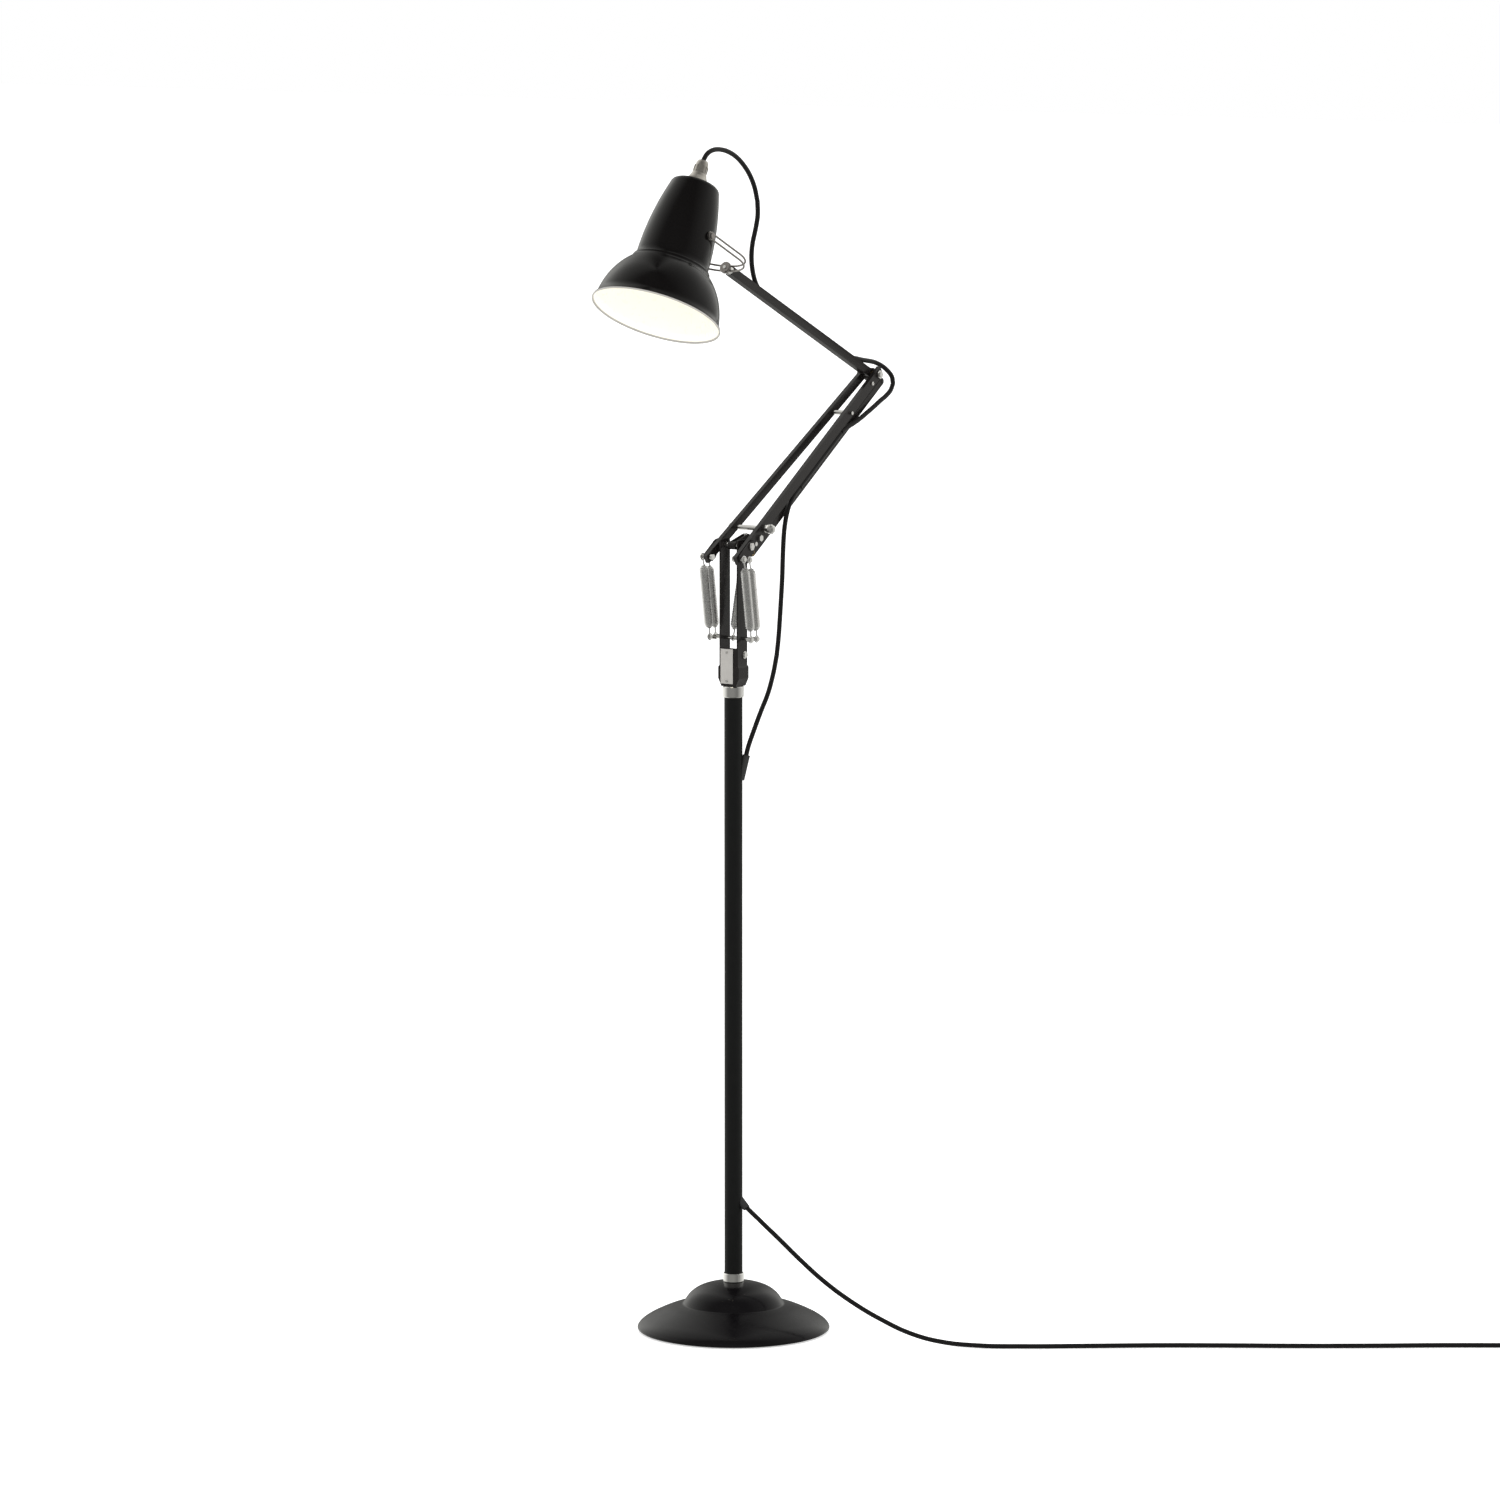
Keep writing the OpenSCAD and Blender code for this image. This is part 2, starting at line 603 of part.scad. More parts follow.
// A straight run of cord that stops just short of the free loop at each end
module cord_run(from, to) {
    step = (to - from) / norm(to - from) * 1.8;
    cord_hole(from + step, to - step, cord_r);
}

module upper_arm_cord() {
    color("black") cord_run(elbow_route[0], head_route[len(head_route) - 1]);
}

// ---------------------------------------------------------------- stirrup
// A wire fork: two parallel runs of wire that loop round the shade's screws
module fork_run() {
    straight = fork_len - fork_x - fork_bend;
    both_sides() {
        translate([-fork_x - fork_bend, fork_y, 0]) rotate([0, -90, 0])
            cylinder(h = straight - 2, r = fork_wire_r, $fn = 24);
        translate([-fork_x - fork_bend, fork_y - fork_bend, 0]) rotate_extrude(angle = 90, $fn = 64)
            translate([fork_bend, 0]) circle(r = fork_wire_r, $fn = 24);
    }
    translate([-fork_x, fork_bend - fork_y, 0]) rotate([-90, 0, 0])
        cylinder(h = 2 * (fork_y - fork_bend), r = fork_wire_r, $fn = 24);
}

module stirrup() {
    color("silver") on_upper_arm() union() {
        for (z = [-fork_gap, fork_gap]) translate([0, 0, z]) fork_run();
        both_sides() translate([-fork_len, fork_y, 0]) rotate([90, 0, 0])
            rotate_extrude($fn = 48) translate([fork_eye_r, 0]) circle(r = fork_wire_r, $fn = 24);
    }
}

// Clamp disc on the shade's side of the fork
module swivel_disc() {
    front = fork_x + fork_wire_r + 0.05;
    outline = [[stud_r, 0], [disc_r, 0], [disc_r, 2.6], [disc_r - 0.8, 3.4], [stud_r, 3.4]];
    color("gray") on_upper_arm() translate([-front, 0, 0]) rotate([0, -90, 0]) rotate_extrude() polygon(outline);
}

// Swivel stud with its shoulder between the fork and the arm's end
module swivel_stud() {
    back = fork_x - fork_wire_r - 0.05;
    color("silver") on_upper_arm() rotate([0, 90, 0]) union() {
        translate([0, 0, -fork_x - 5.2]) cylinder(h = fork_x + 24, r = stud_r, $fn = 32);
        translate([0, 0, -back]) cylinder(h = back - gap, r = 5.2, $fn = 32);
    }
}

// ---------------------------------------------------------------- shade
function bell(a, thin) = [(71 - thin) * cos(a), -2 + (78 - thin) * sin(a)];
function neck(s, thin) = [neck_foot_r - thin - 0.00155 * pow(s - 64, 2), s];

module shade() {
    lip = [[shade_r - 0.9, 0], [shade_r, 0.5], [shade_r + 0.3, 1.6], [shade_r - 0.3, 3], [shade_r - 2, 5.5]];
    outer = concat(lip, [for (a = [8:3.5:50]) bell(a, 0)],
        [[44.6, bead_s - 2], [44.7, bead_s - 0.6], [43.6, bead_s + 0.8], [41.9, bead_s + 1.6]],
        [for (s = [66:8.9:neck_end_s]) neck(s, 0)],
        [[27.7, 158], [25.6, 160.3], [22, shade_top_s], [8, shade_top_s]]);
    inner = concat(
        [[8, shade_top_s - shade_wall], [21.6, shade_top_s - shade_wall], [24.8, 159], [26.4, 157.2]],
        [for (s = [154:-8.8:66]) neck(s, shade_wall)], [[40.6, bead_s + 0.4]],
        [for (a = [50:-3.5:8]) bell(a, shade_wall)], [[shade_r - 3.2, 5]]);
    color("black") on_shade() difference() {
        rotate_extrude($fn = 96) polygon(concat(outer, inner));
        along_y(0, pivot_s, -60, 60, 2);
    }
}

module shade_screws() {
    outer = fork_y + fork_wire_r + 0.3;
    color("black") both_sides() on_shade() union() {
        along_y(0, pivot_s, 36, outer, 2);
        along_y(0, pivot_s, outer, outer + 1.4, 3.4, 32);
    }
}

module shade_washers() {
    color("silver") both_sides() on_shade() difference() {
        along_y(0, pivot_s, 40.1, fork_y - fork_wire_r - 0.2, 4.8);
        along_y(0, pivot_s, 36, fork_y, 2);
    }
}

module lampholder() {
    outline = [[13.6, 120], [17, 120], [18, 122], [18, 157], [16, 160], [7.4, 160], [7.4, 168], [4, 168],
        [4, 150], [13.6, 150]];
    color("white") on_shade() rotate_extrude() polygon(outline);
}

module shade_cap() {
    outline = [[7.6, shade_top_s], [14, shade_top_s], [14.3, 163.4], [13.2, 165.4], [11.6, 167.2],
        [9.6, 170.6], [8.4, 174.4], [4.4, 174.4], [4.4, 168.4], [7.6, 168.4]];
    color("silver") on_shade() rotate_extrude() polygon(outline);
}

module cord_grip() {
    color("silver") on_shade() difference() {
        union() {
            rotate_extrude() polygon([[0, 174.4], [7.4, 174.4], [7.8, 175.6], [7.6, 183], [6.9, 187],
                [5.8, grip_top_s], [0, grip_top_s]]);
            for (k = [0:11]) rotate([0, 0, 30 * k]) translate([7.2, -0.6, 176]) cube([1, 1.2, 7.5]);
        }
        translate([0, 0, 170]) cylinder(h = 30, r = cord_r + 0.5, $fn = 32);
    }
}

// A hollow globe, open under its cap
module bulb_glass() {
    globe = 28;
    skin = 0.8;
    outer = concat([for (a = [-90:10:40]) [globe * cos(a), 82 + globe * sin(a)]],
        [[17, 106], [14.5, 112], [12.6, 118]]);
    inner = concat([[12.6 - skin, 118], [14.5 - skin, 112], [17 - skin, 106]],
        [for (a = [40:-10:-90]) [(globe - skin) * cos(a), 82 + (globe - skin) * sin(a)]]);
    color("white") on_shade() rotate_extrude() polygon(concat(outer, inner));
}

module bulb_cap() {
    color("silver") on_shade() translate([0, 0, 118]) union() {
        cylinder(h = 22, r = 12.8);
        cylinder(h = 26, r = 5);
    }
}

// ---------------------------------------------------------------- free cord
module head_cord() { color("black") tube_along(head_route, [0, 1, 0], cord_r); }
module elbow_cord() { color("black") tube_along(elbow_route, [0, 1, 0], cord_r); }
module hanging_cord() { color("black") tube_along(hanging_route, [0, 1, 0], cord_r); }
module floor_cord() { color("black") on_floor() tube_along(lead_route, [0, 1, 0], cord_r); }
module cord_tail() { color("black") on_floor() tube_along(tail_route, [0, 0, 1], cord_r); }
module on_coil() { on_floor() translate([coil_centre[0], coil_centre[1], coil_z]) children(); }
module cord_coil() {
    color("black") on_coil() rotate_extrude($fn = 64)
        translate([coil_r - coil_w / 2, 0]) square([coil_w, coil_h]);
}
// The tie round the coil's bundle
module cord_tie() {
    slack = 0.1;
    color("black") on_coil() translate([-4, -coil_r, coil_h / 2]) difference() {
        translate([0, -coil_w / 2 - 1.6, -coil_h / 2 - 0.9]) cube([8, coil_w + 3.2, coil_h + 1.8]);
        translate([-1, -coil_w / 2 - 0.9, -coil_h / 2 - slack]) cube([10, coil_w + 1.8, coil_h + 2 * slack]);
    }
}
module on_plug() { on_floor() translate(plug_place) rotate([0, 0, plug_turn]) children(); }
module plug_body() {
    color("black") on_plug() union() {
        rotate([0, 90, 0]) cylinder(h = relief_len, r1 = 3.6, r2 = 5, $fn = 32);
        translate([relief_len, 0, -6.8]) linear_extrude(13.6) polygon([[-2, -5.4], [8, -9], [15, -15],
            [20, -17], [28, -17.4], [28, 17.4], [20, 17], [15, 15], [8, 9], [-2, 5.4]]);
    }
}
module plug_pins() {
    color("silver") on_plug() for (y = [-9.3, 9.3])
        translate([relief_len + 28, y, 0]) rotate([0, 90, 0]) cylinder(h = 19, r = 2, $fn = 24);
}

foot_pad();
base_weight();
base_cover();
base_collar();
pole();
pole_nut();
upper_grommet();
lower_grommet();
top_collar();
bracket_spindle();
bracket();
label_plate();
bracket_screws();
anchor_rod();
anchor_clips();
main_axle();
axle_nuts();
spring_lever();
link_lever();
link_bush();
link_bar();
near_bar();
far_bar();
tail_plates();
spring_pins();
lower_tie_rod();
upper_tie_rod();
elbow_axle();
elbow_nuts();
elbow_spacers();
bar_screws();
lower_arm_cord();
friction_knob();
front_springs();
rear_springs();
middle_spring();
elbow_bush();
upper_arm();
upper_arm_cord();
arm_end_plug();
stirrup();
swivel_disc();
swivel_stud();
shade();
shade_screws();
shade_washers();
lampholder();
shade_cap();
cord_grip();
bulb_glass();
bulb_cap();
head_cord();
elbow_cord();
hanging_cord();
floor_cord();
cord_coil();
cord_tie();
cord_tail();
plug_body();
plug_pins();
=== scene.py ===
"""Adjustable arm floor lamp: camera, light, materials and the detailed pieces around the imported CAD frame."""

import json
import math

import bmesh
import bpy
from mathutils import Matrix, Vector

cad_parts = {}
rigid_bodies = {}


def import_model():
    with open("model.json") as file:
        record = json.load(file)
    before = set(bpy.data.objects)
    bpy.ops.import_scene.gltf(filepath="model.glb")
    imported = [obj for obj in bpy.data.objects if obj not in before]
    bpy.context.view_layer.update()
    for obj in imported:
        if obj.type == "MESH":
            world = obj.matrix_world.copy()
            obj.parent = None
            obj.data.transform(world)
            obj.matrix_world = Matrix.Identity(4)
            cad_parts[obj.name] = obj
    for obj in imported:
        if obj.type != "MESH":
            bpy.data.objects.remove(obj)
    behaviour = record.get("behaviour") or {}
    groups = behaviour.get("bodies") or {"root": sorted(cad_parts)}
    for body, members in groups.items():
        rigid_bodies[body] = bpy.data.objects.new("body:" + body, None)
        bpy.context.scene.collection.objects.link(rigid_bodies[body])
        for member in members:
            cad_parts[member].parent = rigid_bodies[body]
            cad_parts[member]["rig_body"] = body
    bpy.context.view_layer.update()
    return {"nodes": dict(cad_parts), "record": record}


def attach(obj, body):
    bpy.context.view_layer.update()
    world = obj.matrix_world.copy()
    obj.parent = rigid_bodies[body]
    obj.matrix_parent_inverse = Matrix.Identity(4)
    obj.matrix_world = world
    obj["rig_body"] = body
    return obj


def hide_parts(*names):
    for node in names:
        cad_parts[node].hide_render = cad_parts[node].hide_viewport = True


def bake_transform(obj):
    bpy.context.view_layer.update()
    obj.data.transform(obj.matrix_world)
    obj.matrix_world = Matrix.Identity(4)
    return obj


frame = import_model()
NODES = frame["nodes"]
MM = 0.001

# ---------------------------------------------------------------- places, in metres, as in the CAD
LOWER_ELEV = math.radians(33.4)
UPPER_RISE = math.radians(25.8)
SHADE_TILT = math.radians(28)
LOWER_LEN = 0.322
UPPER_LEN = 0.306
FORK_LEN = 0.103
SHADE_PIVOT_S = 0.1  # from the shade's rim plane up to its pivot
PIVOT = Vector((0, 0, 0.902))
ALONG_LOWER = Vector((math.cos(LOWER_ELEV), 0, math.sin(LOWER_ELEV)))
ALONG_UPPER = Vector((-math.cos(UPPER_RISE), 0, math.sin(UPPER_RISE)))
ELBOW = PIVOT + LOWER_LEN * ALONG_LOWER
WRIST = ELBOW + UPPER_LEN * ALONG_UPPER
SHADE_PIVOT = WRIST + FORK_LEN * ALONG_UPPER
ON_SHADE = (Matrix.Translation(SHADE_PIVOT) @ Matrix.Rotation(SHADE_TILT, 4, "Y")
            @ Matrix.Translation((0, 0, -SHADE_PIVOT_S)))
ON_FLOOR = Matrix.Rotation(math.radians(-54), 4, "Z")
CORD_R = 0.00275

# Springs: the anchor rod at the foot, and the arm's tail at the top
ANCHOR_Z = 0.797
TAIL_U = 0.023
TAIL_REAR = Vector((-0.0084, 0, -0.0142))
SPRING_Y = 0.0288
CLIP_DX = 0.0054
SPRING_R = 0.0055
MIDDLE_SPRING_R = 0.005
SPRING_WIRE_R = 0.00078
SPRING_PITCH = 0.0019
SPRING_STUB = 0.0098  # straight wire and loop at each end
OUTER_PIN_R = 0.0024
ANCHOR_ROD_R = 0.002
LEVER_PIN_R = 0.0016
LEVER_LEN = 0.026
LEVER_ANGLE = math.radians(20)

# Cord routes: the same points as in the CAD, in millimetres
HEAD_ROUTE = [(-60, 0, 1331.4), (-56.4, 0, 1338.2), (-48.8, 0, 1345.4), (-37, 0, 1349), (-23, 0, 1348.8),
              (-8, 0, 1345.5), (7, 0, 1339), (20.5, 0, 1329.5), (32, 0, 1318), (41, 0, 1304),
              (46.5, 0, 1288), (47, 0, 1272), (42.5, 0, 1256), (37, 0, 1241), (35, 0, 1225),
              (37.5, 0, 1209), (44, 0, 1195), (56, 0, 1183), (71, 0, 1174.6)]
ELBOW_ROUTE = [(224, 0, 1100.4), (239, 0, 1099.4), (252, 0, 1097), (265, 0, 1095), (278, -0.5, 1092.5),
               (288.5, -3, 1088), (296, -6, 1082), (300.5, -9, 1075), (300, -11, 1067), (293.5, -12, 1059.5),
               (283, -12.4, 1053.5), (271, -12.6, 1048.5), (259, -12.8, 1043), (246, -13, 1037.5),
               (232, -13, 1031.5), (218, -13, 1026.5), (204, -13.2, 1022.3), (192.7, -13.4, 1018)]
HANGING_ROUTE = [(105, -16.4, 960.2), (94, -16.7, 952.5), (84.5, -17.2, 942), (78, -17.8, 930),
                 (73.5, -18.3, 916), (71.3, -18.5, 900), (70, -18.6, 882), (68.7, -18.8, 862),
                 (66.6, -18.9, 840), (64, -19, 816), (61, -19.3, 794), (57, -19.5, 773), (50, -19.5, 752),
                 (41, -18.8, 731), (29.5, -17, 711), (19.5, -14.8, 691), (12, -12, 672), (8.4, -10.2, 656),
                 (5.6, -8.2, 642)]
LEAD_ROUTE = [(3, 0.5, 157), (11, -4.5, 147), (30, -15, 129.5), (52, -26, 110), (76, -36.5, 88),
              (102, -47, 66), (134, -58.5, 44), (169, -70, 25), (201, -81.5, 12), (234, -92.5, 5),
              (276, -104, 2.9), (330, -108.5, 2.9), (400, -106.5, 2.9), (480, -103.5, 2.9),
              (560, -104.5, 2.9),
              (640, -107, 2.9), (720, -106.5, 2.9), (800, -104, 2.9), (880, -104.6, 2.9), (909, -105.1, 2.9)]
COIL_CENTRE = (925, -140.5)
COIL_LAYS = [(35.5, 3.2), (30, 3.2), (24.5, 3.2), (24.5, 8.9), (30, 8.9), (35.5, 8.9)]
TAIL_ROUTE = [(960.5, -157, 8), (961, -170, 5.2), (963, -184, 3.6), (966, -198, 3.6), (970, -212, 5.2),
              (974, -224, 6.9)]


# ---------------------------------------------------------------- camera and light
def aim(obj, target):
    obj.rotation_euler = (Vector(target) - obj.location).to_track_quat("-Z", "Y").to_euler()


def make_camera():
    data = bpy.data.cameras.new("camera")
    cam = bpy.data.objects.new("camera", data)
    bpy.context.scene.collection.objects.link(cam)
    azimuth, distance, height = math.radians(54), 8.0, 1.70
    cam.location = (-distance * math.sin(azimuth), -distance * math.cos(azimuth), height)
    cam.rotation_euler = (math.radians(90 - 7.344), 0, math.radians(-54.135))
    data.lens = 170.73
    data.sensor_width = 36
    data.clip_end = 100
    bpy.context.scene.camera = cam


def area_light(name, place, target, size, power, colour=(1, 1, 1)):
    data = bpy.data.lights.new(name, "AREA")
    data.shape = "RECTANGLE"
    data.size, data.size_y = size
    data.energy = power
    data.color = colour
    obj = bpy.data.objects.new(name, data)
    bpy.context.scene.collection.objects.link(obj)
    obj.location = place
    aim(obj, target)
    obj.visible_glossy = False  # its own shape doesn't show as a hard streak on the paint


# What metal and paint reflect: brightness by height (0 straight down, 1 straight up) and by direction,
# turned so that 0.5 is the viewer's side and the left of the view is just above it
HEIGHT_BANDS = [(0.0, 0.7), (0.30, 0.95), (0.47, 1.0), (0.5, 0.8), (0.54, 1.0), (0.72, 1.2), (0.9, 0.8),
                (1.0, 0.6)]
SIDE_BANDS = [(0.0, 0.25), (0.12, 0.18), (0.28, 0.6), (0.42, 1.0), (0.475, 0.22), (0.515, 0.22), (0.58, 1.2),
              (0.70, 0.9), (0.82, 0.25), (1.0, 0.25)]


def set_stops(ramp, stops):
    elements = ramp.color_ramp.elements
    elements[0].position, elements[1].position = 0, 1
    for place, value in stops[1:-1]:
        elements.new(place)
    for element, (place, value) in zip(elements, stops):
        element.position = place
        element.color = (value, value, value * 0.98, 1)


def make_world():
    world = bpy.data.worlds.new("studio")
    bpy.context.scene.world = world
    world.use_nodes = True
    tree = world.node_tree
    tree.nodes.clear()
    new, link = tree.nodes.new, tree.links.new
    coords = new("ShaderNodeTexCoord")
    turn = new("ShaderNodeMapping")
    turn.vector_type = "POINT"
    turn.inputs["Rotation"].default_value = (0, 0, math.radians(-36))
    link(coords.outputs["Generated"], turn.inputs["Vector"])
    around = new("ShaderNodeTexGradient")
    around.gradient_type = "RADIAL"
    link(turn.outputs[0], around.inputs["Vector"])
    bands = new("ShaderNodeValToRGB")
    link(around.outputs["Fac"], bands.inputs["Fac"])
    set_stops(bands, SIDE_BANDS)
    split = new("ShaderNodeSeparateXYZ")
    link(coords.outputs["Generated"], split.inputs[0])
    to_unit = new("ShaderNodeMath")
    to_unit.operation = "MULTIPLY_ADD"
    to_unit.inputs[1].default_value = 0.5
    to_unit.inputs[2].default_value = 0.5
    link(split.outputs["Z"], to_unit.inputs[0])
    heights = new("ShaderNodeValToRGB")
    link(to_unit.outputs[0], heights.inputs["Fac"])
    set_stops(heights, HEIGHT_BANDS)
    both = new("ShaderNodeMix")
    both.data_type = "RGBA"
    both.blend_type = "MULTIPLY"
    both.inputs["Factor"].default_value = 1
    link(bands.outputs["Color"], both.inputs["A"])
    link(heights.outputs["Color"], both.inputs["B"])
    studio = new("ShaderNodeBackground")
    link(both.outputs["Result"], studio.inputs["Color"])
    plain = new("ShaderNodeBackground")
    plain.inputs["Color"].default_value = (1, 1, 1, 1)
    plain.inputs["Strength"].default_value = 1.0
    path = new("ShaderNodeLightPath")
    mix = new("ShaderNodeMixShader")
    link(path.outputs["Is Glossy Ray"], mix.inputs[0])
    link(plain.outputs[0], mix.inputs[1])
    link(studio.outputs[0], mix.inputs[2])
    out = new("ShaderNodeOutputWorld")
    link(mix.outputs[0], out.inputs["Surface"])


def make_floor():
    bpy.ops.mesh.primitive_plane_add(size=60, location=(0, 0, -0.0006))
    floor = bpy.context.object
    floor.name = "floor"
    m = bpy.data.materials.new("floor_white")
    m.use_nodes = True
    shader = m.node_tree.nodes["Principled BSDF"]
    shader.inputs["Base Color"].default_value = (0.86, 0.86, 0.86, 1)
    shader.inputs["Roughness"].default_value = 0.9
    shader.inputs["Emission Color"].default_value = (1, 1, 1, 1)
    shader.inputs["Emission Strength"].default_value = 0.55
    floor.data.materials.append(m)
    floor.visible_glossy = False


make_camera()
make_world()
make_floor()
area_light("key", (-3.2, -1.2, 2.6), (0, 0, 0.9), (1.4, 2.0), 46, (1, 0.985, 0.96))
area_light("side", (1.2, -3.4, 1.7), (0, 0, 0.9), (0.7, 2.2), 26)
area_light("back", (2.4, 2.6, 2.4), (0, 0, 1.0), (1.2, 1.8), 30)
scene = bpy.context.scene
scene.view_settings.view_transform = "Standard"
scene.view_settings.look = "None"


# ---------------------------------------------------------------- materials
def finish(name, colour, rough, metal=0.0, rough_swing=0.05, grain=400.0, bump=0.02, coat=0.0,
           coat_rough=0.05, stretch=(1, 1, 1), mottle=0.08, specular=0.5):
    """A surface with mottled colour, uneven roughness and a fine bump, from noise in object space."""
    m = bpy.data.materials.new(name)
    m.use_nodes = True
    tree = m.node_tree
    new, link = tree.nodes.new, tree.links.new
    shader = tree.nodes["Principled BSDF"]
    shader.inputs["Metallic"].default_value = metal
    shader.inputs["Coat Weight"].default_value = coat
    shader.inputs["Coat Roughness"].default_value = coat_rough
    shader.inputs["Specular IOR Level"].default_value = specular
    coords = new("ShaderNodeTexCoord")
    scale = new("ShaderNodeMapping")
    scale.inputs["Scale"].default_value = stretch
    link(coords.outputs["Object"], scale.inputs["Vector"])
    broad = new("ShaderNodeTexNoise")
    broad.inputs["Scale"].default_value = grain / 14
    broad.inputs["Detail"].default_value = 3
    link(scale.outputs[0], broad.inputs["Vector"])
    fine = new("ShaderNodeTexNoise")
    fine.inputs["Scale"].default_value = grain
    fine.inputs["Detail"].default_value = 5
    link(scale.outputs[0], fine.inputs["Vector"])
    tint = new("ShaderNodeMix")
    tint.data_type = "RGBA"
    tint.inputs["A"].default_value = [c * (1 - mottle) for c in colour] + [1]
    tint.inputs["B"].default_value = [min(1, c * (1 + mottle)) for c in colour] + [1]
    link(broad.outputs["Fac"], tint.inputs["Factor"])
    link(tint.outputs["Result"], shader.inputs["Base Color"])
    spread = new("ShaderNodeMapRange")
    spread.inputs["From Min"].default_value = 0.3
    spread.inputs["From Max"].default_value = 0.7
    spread.inputs["To Min"].default_value = max(0.02, rough - rough_swing)
    spread.inputs["To Max"].default_value = rough + rough_swing
    link(fine.outputs["Fac"], spread.inputs["Value"])
    link(spread.outputs[0], shader.inputs["Roughness"])
    relief = new("ShaderNodeBump")
    relief.inputs["Strength"].default_value = bump
    relief.inputs["Distance"].default_value = 0.0004
    link(fine.outputs["Fac"], relief.inputs["Height"])
    link(relief.outputs["Normal"], shader.inputs["Normal"])
    return m


GLOSS = finish("gloss_black_paint", (0.0085, 0.0072, 0.0070), 0.24, grain=260, bump=0.03, mottle=0.15,
               specular=0.3)
SHADE_BLACK = finish("shade_black_enamel", (0.0022, 0.0018, 0.0018), 0.15, grain=200, bump=0.02, mottle=0.15,
                     specular=0.24)
BASE_BLACK = finish("base_black_enamel", (0.0032, 0.0028, 0.0034), 0.2, grain=160, bump=0.03, mottle=0.15,
                    specular=0.22)
SATIN = finish("satin_black_powder_coat", (0.0045, 0.0048, 0.0046), 0.5, grain=1500, bump=0.1, mottle=0.2,
               specular=0.2)
CHROME = finish("polished_chrome", (0.84, 0.83, 0.81), 0.09, metal=1, rough_swing=0.03, grain=900,
                bump=0.01, mottle=0.02)
SPRING_STEEL = finish("bright_spring_steel", (1.0, 0.99, 0.97), 0.28, metal=1, rough_swing=0.04, grain=1500,
                      bump=0.04, mottle=0.03, stretch=(1, 1, 0.3))
DARK_STEEL = finish("greyed_steel", (0.42, 0.39, 0.37), 0.48, metal=1, grain=1200, bump=0.05)
NICKEL = finish("satin_nickel", (0.52, 0.49, 0.45), 0.34, metal=1, rough_swing=0.07, grain=1400, bump=0.06,
                stretch=(1, 1, 0.2), mottle=0.05)
STEEL = finish("plain_steel", (0.55, 0.55, 0.55), 0.3, metal=1, grain=1200, bump=0.05)
# The fork's wires are chrome; this darker, rougher grey metal is a painted reflection of the black shade that
# the chrome mirrors.
WIRE = finish("fork_wire_painted_dark_reflection", (0.36, 0.34, 0.32), 0.42, metal=1, grain=1200, bump=0.05)
CAST = finish("cast_iron", (0.09, 0.09, 0.09), 0.7, metal=0.6, grain=700, bump=0.5, mottle=0.3)
RUBBER = finish("foot_rubber", (0.02, 0.02, 0.02), 0.75, grain=1800, bump=0.25)
LABEL = finish("brushed_label", (0.72, 0.70, 0.67), 0.38, metal=0.75, rough_swing=0.1, grain=1600, bump=0.1,
               stretch=(1, 0.06, 1), mottle=0.06)
BRASS = finish("brass_bush", (0.7, 0.52, 0.22), 0.3, metal=1, grain=900, bump=0.04)
ENAMEL_WHITE = finish("warm_white_enamel", (0.93, 0.90, 0.80), 0.3, coat=0.4, coat_rough=0.12, grain=180,
                      bump=0.02, mottle=0.02)
RIM = finish("rim_enamel", (0.34, 0.33, 0.31), 0.35, grain=300, bump=0.02, mottle=0.05)
HOLDER = finish("holder_plastic", (0.8, 0.78, 0.72), 0.5, grain=900, bump=0.05)
BULB = finish("frosted_bulb", (0.92, 0.9, 0.84), 0.35, grain=600, bump=0.01, mottle=0.01)
CORD = finish("black_cord_sheath", (0.0055, 0.005, 0.005), 0.42, grain=1600, bump=0.16, mottle=0.2,
              specular=0.25)
PLUG = finish("plug_moulding", (0.012, 0.012, 0.012), 0.5, grain=1400, bump=0.2, mottle=0.15)

BY_SLOT = {"gloss_black": GLOSS, "satin_black": SATIN, "shade_black": SHADE_BLACK, "chrome": CHROME,
           "dark_steel": DARK_STEEL, "steel": STEEL, "cap_silver": NICKEL, "cast_iron": CAST,
           "foot_rubber": RUBBER, "grommet_rubber": RUBBER, "label_silver": LABEL, "brass": BRASS,
           "holder_white": HOLDER, "bulb_glass": BULB, "bulb_cap": STEEL, "cord_black": CORD,
           "plug_black": PLUG, "pin_nickel": CHROME}
SLOT_OF = {s["node"]: s["material_slot"] for s in frame["record"]["subparts"]}


def smooth(mesh, angle=35):
    mesh.shade_smooth()
    mesh.set_sharp_from_angle(angle=math.radians(angle))


for name, node in NODES.items():
    node.data.materials.clear()
    # The chrome stirrup takes the darker fork metal: a painted reflection of the black shade.
    node.data.materials.append(WIRE if name == "stirrup" else BY_SLOT[SLOT_OF[name]])
    smooth(node.data)


# ---------------------------------------------------------------- mesh helpers
def curve_through(points, step=0.003):
    """Points every step along a smooth curve through the given points."""
    pts = [Vector(p) for p in points]
    ends = [2 * pts[0] - pts[1]] + pts + [2 * pts[-1] - pts[-2]]
    out = []
    for i in range(1, len(ends) - 2):
        a, b, c, d = ends[i - 1:i + 3]
        n = max(1, round((c - b).length / step))
        for k in range(n):
            t = k / n
            out.append(0.5 * (2 * b + (c - a) * t + (2 * a - 5 * b + 4 * c - d) * t * t
                              + (3 * b - a - 3 * c + d) * t ** 3))
    out.append(pts[-1])
    return out


